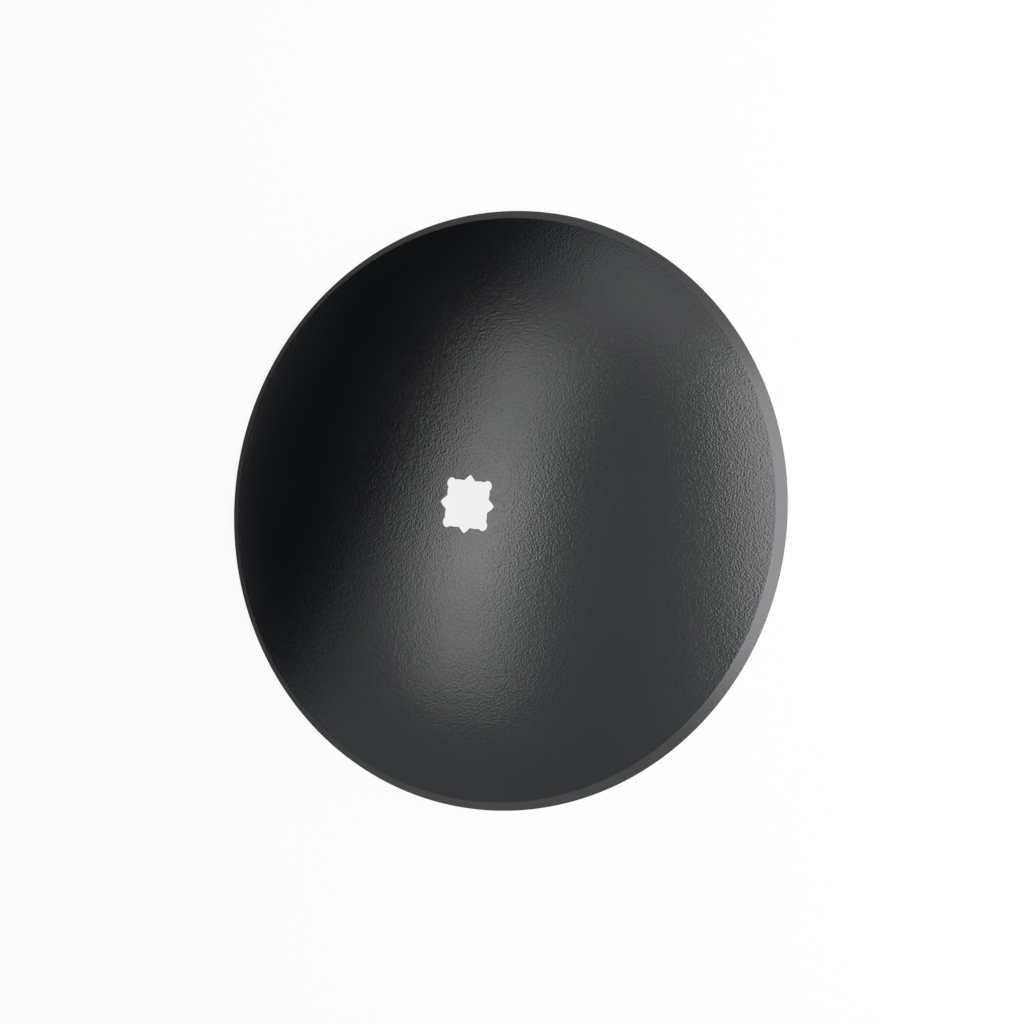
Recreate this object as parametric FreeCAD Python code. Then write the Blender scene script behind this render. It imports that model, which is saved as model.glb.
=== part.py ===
import FreeCAD, Part

# Plain concave harrow disc blade, pressed from one steel plate.
#
# The blade is a spherical dish of even thickness.  It lies dome up on its cutting edge, with the
# axle's line along +Z.  The convex face is ground back to a bevel all round the rim, which leaves
# a thin blunt edge.  The middle is punched with two squares, one turned by 45 degrees on the
# other, so that the blade slides on either of two sizes of square axle bar.  The bigger square
# has a round relief in each corner.
#
# Frame: origin on the axle's line, in the plane of the cutting edge; +Z towards the convex face.
# Units: millimetres.

import os
from math import acos, asin, cos, sin, sqrt

# Driving dimensions of the dish
DIAMETER = 410.0             # over the cutting edge
THICKNESS = 3.0              # of the plate
CONCAVITY = 46.0             # depth of the concave face, on the axle's line
BEVEL_LENGTH = 8.2           # from the blunt edge up to the untouched convex face
EDGE_LAND = 0.4              # height of the blunt edge below the bevel

# Driving dimensions of the axle hole
SQUARE_ACROSS = 31.2         # bigger square, across its flats
TURNED_SQUARE_ACROSS = 28.3  # smaller square, across its flats
RELIEF_RADIUS = 3.7          # in the corners of the bigger square
NOTCH_TIP_RADIUS = 0.5       # in the corners of the turned square
SHOULDER_RADIUS = 0.8        # where a flat runs into a notch or a relief
PUNCH_ROLLOVER = 0.35        # round edge where the punch went in, on the convex face
PUNCH_BREAK = 0.15           # broken edge where the punch came out, on the concave face

TELLING_APART = 0.01         # two places or radii closer than this count as the same

ORIGIN = FreeCAD.Vector(0, 0, 0)
AXLE = FreeCAD.Vector(0, 0, 1)

# The land stands square to the plate, so it leans outwards by the dish's slope at the rim, and
# its lower corner, on which the blade lies, is a little inside the cutting edge.
heel_radius = DIAMETER / 2
for _ in range(20):
    concave_radius = (heel_radius ** 2 + CONCAVITY ** 2) / (2 * CONCAVITY)
    rim_slope = asin(heel_radius / concave_radius)
    heel_radius = DIAMETER / 2 - EDGE_LAND * sin(rim_slope)
toe_radius = concave_radius + EDGE_LAND
convex_radius = concave_radius + THICKNESS
centre_height = CONCAVITY - concave_radius

# The bevel is a chord from the toe of the land to the convex face.
bevel_angle = acos(
    (toe_radius ** 2 + convex_radius ** 2 - BEVEL_LENGTH ** 2) / (2 * toe_radius * convex_radius))
bevel_top_slope = rim_slope - bevel_angle

# Half of the bigger square, and how far the turned square's corners reach out over X and Y.
half_square = SQUARE_ACROSS / 2
notch_reach = TURNED_SQUARE_ACROSS / sqrt(2)
notch_side = (notch_reach - half_square) * sqrt(2)


def section_point(from_centre, slope):
    """A point of the section, in the XZ plane, given from the centre of the two spheres."""
    return FreeCAD.Vector(from_centre * sin(slope), 0, centre_height + from_centre * cos(slope))


def ball(radius):
    """A ball about the centre of the two spheres, with its poles and its seam clear of the blade."""
    whole = Part.makeSphere(radius)
    whole.rotate(ORIGIN, FreeCAD.Vector(0, 1, 0), 90)
    whole.translate(FreeCAD.Vector(0, 0, centre_height))
    return whole


def rim_blank():
    """A turned blank whose outside is the land and the bevel, each run on past the plate."""
    below_heel = section_point(concave_radius - THICKNESS, rim_slope)
    toe = section_point(toe_radius, rim_slope)
    bevel_top = section_point(convex_radius, bevel_top_slope)
    past_bevel = bevel_top + (bevel_top - toe) / 2
    above = CONCAVITY + 2 * THICKNESS
    outside = [
        FreeCAD.Vector(0, 0, below_heel.z),
        below_heel,
        toe,
        past_bevel,
        FreeCAD.Vector(past_bevel.x, 0, above),
        FreeCAD.Vector(0, 0, above),
    ]
    section = Part.Face(Part.makePolygon(outside + outside[:1]))
    return section.revolve(ORIGIN, AXLE, 360)


def pressed_dish():
    """The pressed and ground plate, before it is punched."""
    return rim_blank().common(ball(convex_radius)).cut(ball(concave_radius))


def square_bar(across, turn):
    """A square bar on the axle's line, turned by an angle, that runs past both faces."""
    corner = FreeCAD.Vector(-across / 2, -across / 2, CONCAVITY / 2)
    bar = Part.makeBox(across, across, CONCAVITY, corner)
    bar.rotate(ORIGIN, AXLE, turn)
    return bar


def relief_bars():
    """A round bar in each corner of the bigger square, just far enough in to clear the corner."""
    centre = half_square - 0.7 * RELIEF_RADIUS
    bars = []
    for side_x in (-1, 1):
        for side_y in (-1, 1):
            foot = FreeCAD.Vector(side_x * centre, side_y * centre, CONCAVITY / 2)
            bars.append(Part.makeCylinder(RELIEF_RADIUS, CONCAVITY, foot, AXLE))
    return bars


def is_upright(edge):
    """Whether an edge of the punch runs along the axle's line."""
    return edge.BoundBox.ZLength > CONCAVITY / 2


def is_notch_tip(edge):
    """Whether an upright edge of the punch is over the X or the Y axis, as the notch tips are."""
    return min(abs(edge.Vertexes[0].X), abs(edge.Vertexes[0].Y)) < TELLING_APART


def punch():
    """The punch of the axle hole, with rounded corners."""
    bars = [square_bar(TURNED_SQUARE_ACROSS, 45)] + relief_bars()
    outline = square_bar(SQUARE_ACROSS, 0).multiFuse(bars).removeSplitter()
    corners = [edge for edge in outline.Edges if is_upright(edge)]
    shoulders = [edge for edge in corners if not is_notch_tip(edge)]
    outline = outline.makeFillet(min(SHOULDER_RADIUS, notch_side), shoulders)
    tips = [edge for edge in outline.Edges if is_upright(edge) and is_notch_tip(edge)]
    return outline.makeFillet(min(NOTCH_TIP_RADIUS, notch_side / 2), tips)


def hole_rim(blade, sphere_radius):
    """The edges of the axle hole on one face of the blade, which is told by its sphere's radius."""
    rim = []
    for face in blade.Faces:
        is_sphere = isinstance(face.Surface, Part.Sphere)
        if is_sphere and abs(face.Surface.Radius - sphere_radius) < TELLING_APART:
            for edge in face.Edges:
                if edge.BoundBox.DiagonalLength < SQUARE_ACROSS:
                    rim.append(edge)
    return rim


def main():
    os.makedirs("parts", exist_ok=True)
    blade = pressed_dish().cut(punch())
    blade = blade.makeFillet(PUNCH_ROLLOVER, hole_rim(blade, convex_radius))
    blade = blade.makeChamfer(PUNCH_BREAK, hole_rim(blade, concave_radius))
    print("disc_blade: solids", len(blade.Solids), "valid", blade.isValid(), "volume", blade.Volume)
    blade.Solids[0].exportStep("parts/disc_blade.step")


main()
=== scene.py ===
"""Looks of the concave harrow disc blade: satin black paint on blasted steel, in plain studio light."""

from math import asin, cos, pi, radians, sin, sqrt

import bpy
import numpy as np
from mathutils import Matrix, Vector


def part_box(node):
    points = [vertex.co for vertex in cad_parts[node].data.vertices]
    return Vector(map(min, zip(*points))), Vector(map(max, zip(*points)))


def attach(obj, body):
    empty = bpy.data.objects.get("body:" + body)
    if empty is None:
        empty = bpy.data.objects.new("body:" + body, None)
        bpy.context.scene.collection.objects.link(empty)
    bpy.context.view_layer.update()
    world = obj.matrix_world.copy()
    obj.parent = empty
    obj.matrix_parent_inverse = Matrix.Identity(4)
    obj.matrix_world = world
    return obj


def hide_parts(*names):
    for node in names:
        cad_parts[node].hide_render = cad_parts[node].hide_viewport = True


MM = 0.001

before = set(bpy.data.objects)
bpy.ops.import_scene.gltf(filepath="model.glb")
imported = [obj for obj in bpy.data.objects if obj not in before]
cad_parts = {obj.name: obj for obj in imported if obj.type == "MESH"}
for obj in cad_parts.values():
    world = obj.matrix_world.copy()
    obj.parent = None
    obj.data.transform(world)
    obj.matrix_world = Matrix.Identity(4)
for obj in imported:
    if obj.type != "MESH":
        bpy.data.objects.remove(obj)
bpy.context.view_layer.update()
low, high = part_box("disc_blade")

# The blade, in metres.  Its diameter comes from the frame.
EDGE_RADIUS = (high[0] - low[0]) / 2
THICKNESS = 3.0 * MM
CONCAVITY = 46.0 * MM
BEVEL_LENGTH = 8.2 * MM
EDGE_LAND = 0.4 * MM
HALF_SQUARE = 31.2 * MM / 2
NOTCH_REACH = 28.3 * MM / sqrt(2)
RELIEF_RADIUS = 3.7 * MM
RELIEF_CENTRE = HALF_SQUARE - 0.7 * RELIEF_RADIUS  # of a relief, along X and along Y
NOTCH_TIP_RADIUS = 0.5 * MM
SHOULDER_RADIUS = 0.8 * MM
PUNCH_ROLLOVER = 0.35 * MM
PUNCH_BREAK = 0.15 * MM

# Softened corners of the ground rim
BEVEL_TOP_RADIUS = 3.0 * MM
TOE_RADIUS = 0.14 * MM
HEEL_RADIUS = 0.14 * MM

# How finely the blade is meshed
SPOKES = 720
ROUND_RADIUS = 33.0 * MM     # from here outwards the rings of the mesh are circles
RING_STEP = 4.0 * MM         # between rings on the convex face
CONCAVE_RING_STEP = 5.0 * MM
RIM_GAP = 0.7 * MM           # from the last such ring to the first of the rim's own
SHORTENING = 1.0 * MM        # taken off a face's reach before its rings are counted


# ---------------------------------------------------------------- geometry of the section

def section():
    """The spheres' centre and radii and the slopes of the rim and of the bevel's top."""
    heel = EDGE_RADIUS
    for _ in range(20):
        concave = (heel ** 2 + CONCAVITY ** 2) / (2 * CONCAVITY)
        rim_slope = asin(heel / concave)
        heel = EDGE_RADIUS - EDGE_LAND * sin(rim_slope)
    toe = concave + EDGE_LAND
    convex = concave + THICKNESS
    cosine = (toe ** 2 + convex ** 2 - BEVEL_LENGTH ** 2) / (2 * toe * convex)
    bevel_slope = rim_slope - np.arccos(cosine)
    return CONCAVITY - concave, concave, convex, toe, rim_slope, bevel_slope


CENTRE, CONCAVE, CONVEX, TOE, RIM_SLOPE, BEVEL_SLOPE = section()


def on_sphere(sphere, radius):
    """Height of a sphere at a distance from the axle's line."""
    return CENTRE + np.sqrt(sphere ** 2 - radius ** 2)


def section_point(from_centre, slope):
    return np.array([from_centre * sin(slope), CENTRE + from_centre * cos(slope)])


def rounded_corner(before, corner, after, radius, steps):
    """Points of the arc that softens the corner between two straight runs of the section."""
    back = (before - corner) / np.linalg.norm(before - corner)
    on = (after - corner) / np.linalg.norm(after - corner)
    half_angle = np.arccos(np.clip(back @ on, -1, 1)) / 2
    reach = radius / np.tan(half_angle)
    bisector = (back + on) / np.linalg.norm(back + on)
    centre = corner + bisector * radius / sin(half_angle)
    start, end = corner + back * reach - centre, corner + on * reach - centre
    sweep = np.arccos(np.clip(start @ end / radius ** 2, -1, 1))
    part = np.linspace(0, 1, steps + 1)[:, None]
    return centre + (np.sin((1 - part) * sweep) * start + np.sin(part * sweep) * end) / sin(sweep)


def rim_section():
    """The section from the convex face round the rim to the concave face, as points, and whether
    the ring through each point is on the ground part."""
    slope_step = 2 * MM / CONVEX
    on_face = section_point(CONVEX, BEVEL_SLOPE - slope_step)
    bevel_top = section_point(CONVEX, BEVEL_SLOPE)
    toe = section_point(TOE, RIM_SLOPE)
    heel = section_point(CONCAVE, RIM_SLOPE)
    inside = section_point(CONCAVE, RIM_SLOPE - slope_step)
    top_arc = rounded_corner(on_face, bevel_top, toe, BEVEL_TOP_RADIUS, 4)
    toe_arc = rounded_corner(bevel_top, toe, heel, TOE_RADIUS, 3)
    heel_arc = rounded_corner(toe, heel, inside, HEEL_RADIUS, 3)
    bevel = [top_arc[-1] + (toe_arc[0] - top_arc[-1]) * part for part in (0.06, 0.35, 0.65, 0.94)]
    points = [*top_arc, *bevel, *toe_arc, *heel_arc]
    first_ground = 2
    past_ground = len(top_arc) + len(bevel) + len(toe_arc) + 1
    ground = [first_ground <= i < past_ground for i in range(len(points))]
    return np.array(points), ground


# ---------------------------------------------------------------- outline of the axle hole

def arc(centre, radius, start, end, steps=24):
    turn = np.linspace(start, end, steps)
    return centre + radius * np.stack([np.cos(turn), np.sin(turn)], 1)


def hole_outline():
    """The outline of the axle hole at each spoke, and its outward normals."""
    relief = RELIEF_CENTRE
    tip = arc(np.array([NOTCH_REACH - NOTCH_TIP_RADIUS * sqrt(2), 0]), NOTCH_TIP_RADIUS, 0, pi / 4)
    x = HALF_SQUARE + SHOULDER_RADIUS
    y = NOTCH_REACH - HALF_SQUARE + SHOULDER_RADIUS * (sqrt(2) - 1)
    notch_shoulder = arc(np.array([x, y]), SHOULDER_RADIUS, pi * 5 / 4, pi)
    y = relief - sqrt((RELIEF_RADIUS + SHOULDER_RADIUS) ** 2 - (x - relief) ** 2)
    facing = np.arctan2(relief - y, relief - x)
    relief_shoulder = arc(np.array([x, y]), SHOULDER_RADIUS, pi, facing)
    corner = arc(np.array([relief, relief]), RELIEF_RADIUS, facing - pi, pi / 4)
    eighth = np.concatenate([tip, notch_shoulder, relief_shoulder, corner])

    spokes = np.arange(SPOKES) * 2 * pi / SPOKES
    folded = np.abs((spokes + pi / 4) % (pi / 2) - pi / 4)
    reach = np.interp(folded, np.arctan2(eighth[:, 1], eighth[:, 0]), np.hypot(*eighth.T))
    outline = reach[:, None] * np.stack([np.cos(spokes), np.sin(spokes)], 1)
    along = np.roll(outline, -1, 0) - np.roll(outline, 1, 0)
    normal = np.stack([along[:, 1], -along[:, 0]], 1)
    return outline, normal / np.linalg.norm(normal, axis=1)[:, None], spokes


# ---------------------------------------------------------------- the blade's mesh

def blade_rings():
    """Rings of points round the whole section, from the hole out over the convex face, round the
    rim, back under the concave face and up the hole's wall, and whether each is ground."""
    outline, normal, spokes = hole_outline()
    circle = np.stack([np.cos(spokes), np.sin(spokes)], 1)
    rings, ground = [], []

    def add(plan, height, is_ground=False):
        height = np.broadcast_to(height, len(plan))
        rings.append(np.column_stack([plan, height]))
        ground.append(is_ground)

    def add_on_sphere(sphere, plan):
        add(plan, on_sphere(sphere, np.hypot(*plan.T)))

    def spread(sphere, offset, parts):
        """Rings that turn the hole's outline into a circle."""
        start = outline + normal * offset
        for part in parts:
            add_on_sphere(sphere, start + (circle * ROUND_RADIUS - start) * part)

    spread(CONVEX, PUNCH_ROLLOVER, [0, 0.03, 0.09, 0.19, 0.33, 0.5, 0.7, 0.88])
    rim, rim_ground = rim_section()
    count = round((rim[0, 0] - SHORTENING - ROUND_RADIUS) / RING_STEP)
    for radius in np.linspace(ROUND_RADIUS, rim[0, 0] - RIM_GAP, count + 1):
        add_on_sphere(CONVEX, circle * radius)
    for (radius, height), is_ground in zip(rim, rim_ground):
        add(circle * radius, height, is_ground)
    count = round((rim[-1, 0] - SHORTENING - ROUND_RADIUS) / CONCAVE_RING_STEP)
    for radius in np.linspace(rim[-1, 0] - RIM_GAP, ROUND_RADIUS, count + 1):
        add_on_sphere(CONCAVE, circle * radius)
    spread(CONCAVE, PUNCH_BREAK, [0.85, 0.6, 0.35, 0.15, 0.04, 0])
    edge_height = on_sphere(CONCAVE, np.hypot(*outline.T))
    top_height = on_sphere(CONVEX, np.hypot(*outline.T))
    for part in (0, 0.1, 0.5, 0.94):
        start, end = edge_height + PUNCH_BREAK, top_height - PUNCH_ROLLOVER
        add(outline, start + (end - start) * part)
    for turn in (0, 22.5, 45, 67.5):
        drawn_out = outline + normal * PUNCH_ROLLOVER * (1 - cos(radians(turn)))
        drop = PUNCH_ROLLOVER * (1 - sin(radians(turn)))
        add(drawn_out, on_sphere(CONVEX, np.hypot(*drawn_out.T)) - drop)
    return np.array(rings), ground


def make_blade(paint, ground_bevel_painted_shade):
    """The blade as one closed mesh that stands for its CAD node."""
    rings, ground = blade_rings()
    count = len(rings)
    index = np.arange(count * SPOKES).reshape(count, SPOKES)
    after = np.roll(index, -1, 0)
    quads = np.stack([index, after, np.roll(after, -1, 1), np.roll(index, -1, 1)], -1).reshape(-1, 4)
    mesh = bpy.data.meshes.new("blade")
    mesh.from_pydata(rings.reshape(-1, 3), [], quads.tolist())
    mesh.materials.append(paint)
    mesh.materials.append(ground_bevel_painted_shade)
    is_ground = np.repeat(np.roll(ground, -1), SPOKES)
    mesh.polygons.foreach_set("material_index", is_ground.astype(np.int32))
    mesh.polygons.foreach_set("use_smooth", np.ones(len(quads), dtype=bool))
    mesh.update()
    blade = bpy.data.objects.new("blade", mesh)
    bpy.context.collection.objects.link(blade)
    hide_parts("disc_blade")
    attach(blade, "root")
    return blade


# ---------------------------------------------------------------- materials

GRAIN_SCALE = 850.0          # of the blasted steel's grain, in features to a metre


def new_material(name):
    material = bpy.data.materials.new(name)
    material.use_nodes = True
    nodes = material.node_tree.nodes
    nodes.clear()
    output = nodes.new("ShaderNodeOutputMaterial")
    shader = nodes.new("ShaderNodeBsdfPrincipled")
    material.node_tree.links.new(shader.outputs["BSDF"], output.inputs["Surface"])
    return material, nodes, material.node_tree.links, shader


def noise(nodes, links, place, scale, detail):
    node = nodes.new("ShaderNodeTexNoise")
    node.inputs["Scale"].default_value = scale
    node.inputs["Detail"].default_value = detail
    links.new(place, node.inputs["Vector"])
    return node.outputs["Fac"]


def ramp(nodes, links, value, low_in, high_in, low_out, high_out):
    """A value taken from one range to another, and held at its ends."""
    node = nodes.new("ShaderNodeMapRange")
    node.inputs["From Min"].default_value = low_in
    node.inputs["From Max"].default_value = high_in
    node.inputs["To Min"].default_value = low_out
    node.inputs["To Max"].default_value = high_out
    links.new(value, node.inputs["Value"])
    return node.outputs["Result"]


def highest(nodes, links, one, other):
    node = nodes.new("ShaderNodeMath")
    node.operation = "MAXIMUM"
    links.new(one, node.inputs[0])
    links.new(other, node.inputs[1])
    return node.outputs["Value"]


def mix_colour(nodes, links, part, one, other):
    node = nodes.new("ShaderNodeMix")
    node.data_type = "RGBA"
    links.new(part, node.inputs["Factor"])
    # Of the inputs called A and B, 6 and 7 are the colours, and output 2 is the mixed one.
    node.inputs[6].default_value = (*one, 1)
    node.inputs[7].default_value = (*other, 1)
    return node.outputs[2]


def bump(nodes, links, height, distance, strength, before=None):
    node = nodes.new("ShaderNodeBump")
    node.inputs["Distance"].default_value = distance
    node.inputs["Strength"].default_value = strength
    links.new(height, node.inputs["Height"])
    if before is not None:
        links.new(before, node.inputs["Normal"])
    return node.outputs["Normal"]


def black_paint():
    """Thin satin black paint, through which the blasted steel's grain shows."""
    material, nodes, links, shader = new_material("black_paint")
    place = nodes.new("ShaderNodeTexCoord").outputs["Object"]
    patches = noise(nodes, links, place, 9.0, 3.0)
    grain = noise(nodes, links, place, GRAIN_SCALE, 0.0)
    peel = noise(nodes, links, place, 260.0, 0.0)
    colour = mix_colour(nodes, links, patches, (0.0019, 0.0026, 0.0033), (0.0027, 0.0033, 0.0042))
    links.new(colour, shader.inputs["Base Color"])
    links.new(ramp(nodes, links, patches, 0.3, 0.7, 0.21, 0.25), shader.inputs["Roughness"])
    shader.inputs["Specular IOR Level"].default_value = 0.97
    normal = bump(nodes, links, peel, 0.00004, 1.0)
    normal = bump(nodes, links, grain, 0.00013, 1.0, normal)
    links.new(normal, shader.inputs["Normal"])
    return material


def ground_bevel_painted_shade():
    """The ground bevel: dark steel under thin paint, rougher and greyer than the faces.  Its tint
    keeps its glancing reflections weak, which is painted shade: it stands in for dark surroundings."""
    material, nodes, links, shader = new_material("ground_bevel_painted_shade")
    place = nodes.new("ShaderNodeTexCoord").outputs["Object"]
    patches = noise(nodes, links, place, 30.0, 3.0)
    grain = noise(nodes, links, place, GRAIN_SCALE, 0.0)
    colour = mix_colour(nodes, links, patches, (0.095, 0.096, 0.098), (0.118, 0.118, 0.12))
    links.new(colour, shader.inputs["Base Color"])
    links.new(ramp(nodes, links, patches, 0.3, 0.7, 0.38, 0.44), shader.inputs["Roughness"])
    shader.inputs["Metallic"].default_value = 1.0
    # Painted shade: this grey tint dims the bevel's glancing reflections in place of dark surroundings.
    shader.inputs["Specular Tint"].default_value = (0.25, 0.25, 0.25, 1)
    normal = bump(nodes, links, grain, 0.00008, 1.0)
    links.new(normal, shader.inputs["Normal"])
    return material


def pale_floor():
    """Matt and pale, lifted towards white where it is seen, with the shadow kept."""
    material, nodes, links, shader = new_material("pale_floor")
    output = next(node for node in nodes if node.type == "OUTPUT_MATERIAL")
    shader.inputs["Base Color"].default_value = (0.86, 0.86, 0.86, 1)
    shader.inputs["Roughness"].default_value = 0.9
    shader.inputs["Specular IOR Level"].default_value = 0.0
    seen = nodes.new("ShaderNodeLightPath")
    direct = highest(nodes, links, seen.outputs["Is Camera Ray"], seen.outputs["Is Glossy Ray"])
    direct = highest(nodes, links, direct, seen.outputs["Is Transmission Ray"])
    part = ramp(nodes, links, direct, 0, 1, 0, 0.85)
    white = nodes.new("ShaderNodeEmission")
    white.inputs["Color"].default_value = (1, 1, 1, 1)
    white.inputs["Strength"].default_value = 1.0
    mix = nodes.new("ShaderNodeMixShader")
    links.new(part, mix.inputs["Fac"])
    links.new(shader.outputs["BSDF"], mix.inputs[1])
    links.new(white.outputs["Emission"], mix.inputs[2])
    links.new(mix.outputs["Shader"], output.inputs["Surface"])
    return material


# ---------------------------------------------------------------- stage, lights and camera

FLOOR_HALF = 12.0            # half the floor's side
LIGHT_DISTANCE = 2.0         # of each soft box from the blade's origin
DARK_SIDE = 0.005            # the world's strengths: on the screened side,
PALE_SIDE = 0.41             # on the open side
HORIZON = 0.9                # and just above the floor


def make_floor():
    signs = [(-1, -1), (1, -1), (1, 1), (-1, 1)]
    corners = [(x * FLOOR_HALF, y * FLOOR_HALF, low[2]) for x, y in signs]
    mesh = bpy.data.meshes.new("floor")
    mesh.from_pydata(corners, [], [(0, 1, 2, 3)])
    mesh.materials.append(pale_floor())
    floor = bpy.data.objects.new("floor", mesh)
    bpy.context.collection.objects.link(floor)


def soft_box(name, lean_x, lean_y, width, length, radiance, turn):
    """A soft box over the blade, leant from upright towards +X and +Y and turned, in degrees."""
    light = bpy.data.lights.new(name, "AREA")
    light.shape = "RECTANGLE"
    light.size = width
    light.size_y = length
    light.energy = radiance * pi * width * length
    box = bpy.data.objects.new(name, light)
    lean_x, lean_y, turn = radians(lean_x), radians(lean_y), radians(turn)
    away = Vector((sin(lean_x), sin(lean_y), cos(lean_x) * cos(lean_y))).normalized()
    side = Vector((cos(turn), sin(turn), 0))
    across = (side - away * side.dot(away)).normalized()
    rotation = Matrix((across, away.cross(across), away)).transposed()
    box.matrix_world = Matrix.Translation(away * LIGHT_DISTANCE) @ rotation.to_4x4()
    bpy.context.collection.objects.link(box)


def make_lights():
    """Four soft boxes, and a world that is pale all round but for a dark screen over the -X and +Y
    side, which ends just above the floor."""
    soft_box("strip", -21, 0, 0.72, 2.7, 1.65, turn=-6)
    soft_box("core", -18, -5, 0.42, 1.0, 1.15, turn=-15)
    soft_box("window", 63, 4, 2.3, 3.3, 2.95, turn=9)
    soft_box("upper", 9, 45, 1.4, 0.6, 0.55, turn=-25)
    world = bpy.data.worlds.new("studio")
    bpy.context.scene.world = world
    world.use_nodes = True
    nodes, links = world.node_tree.nodes, world.node_tree.links
    direction = nodes.new("ShaderNodeTexCoord").outputs["Generated"]
    towards_light = nodes.new("ShaderNodeVectorMath")
    towards_light.operation = "DOT_PRODUCT"
    towards_light.inputs[1].default_value = (0.92, -0.39, 0)
    links.new(direction, towards_light.inputs[0])
    split = nodes.new("ShaderNodeSeparateXYZ")
    links.new(direction, split.inputs["Vector"])
    open_side = ramp(nodes, links, towards_light.outputs["Value"], -0.62, -0.5, 0, 1)
    near_floor = ramp(nodes, links, split.outputs["Z"], 0.02, 0.06, 1, 0)
    pale = ramp(nodes, links, open_side, 0, 1, DARK_SIDE, PALE_SIDE)
    horizon = ramp(nodes, links, near_floor, 0, 1, 0, HORIZON)
    links.new(highest(nodes, links, pale, horizon), nodes["Background"].inputs["Strength"])
    nodes["Background"].inputs["Color"].default_value = (0.93, 0.97, 1, 1)


def make_camera():
    """Looks down on the lying blade from the +X side, rolled until the blade seems stood on its rim."""
    aim = Vector((0.0212, -0.0015, 0.02))
    azimuth, elevation, roll = radians(-2.26), radians(67.11), radians(-81.29)
    distance = 1.334
    data = bpy.data.cameras.new("camera")
    data.lens = 70.0
    data.sensor_width = 36.0
    data.clip_end = 50
    back = Vector((cos(azimuth) * cos(elevation), sin(azimuth) * cos(elevation), sin(elevation)))
    level = Vector((0, 0, 1)).cross(back).normalized()
    upright = back.cross(level)
    right = level * cos(roll) + upright * sin(roll)
    rotation = Matrix((right, back.cross(right), back)).transposed()
    camera = bpy.data.objects.new("camera", data)
    camera.matrix_world = Matrix.Translation(aim + back * distance) @ rotation.to_4x4()
    bpy.context.collection.objects.link(camera)
    bpy.context.scene.camera = camera


make_camera()
make_blade(black_paint(), ground_bevel_painted_shade())
make_floor()
make_lights()
bpy.context.scene.view_settings.view_transform = "Standard"
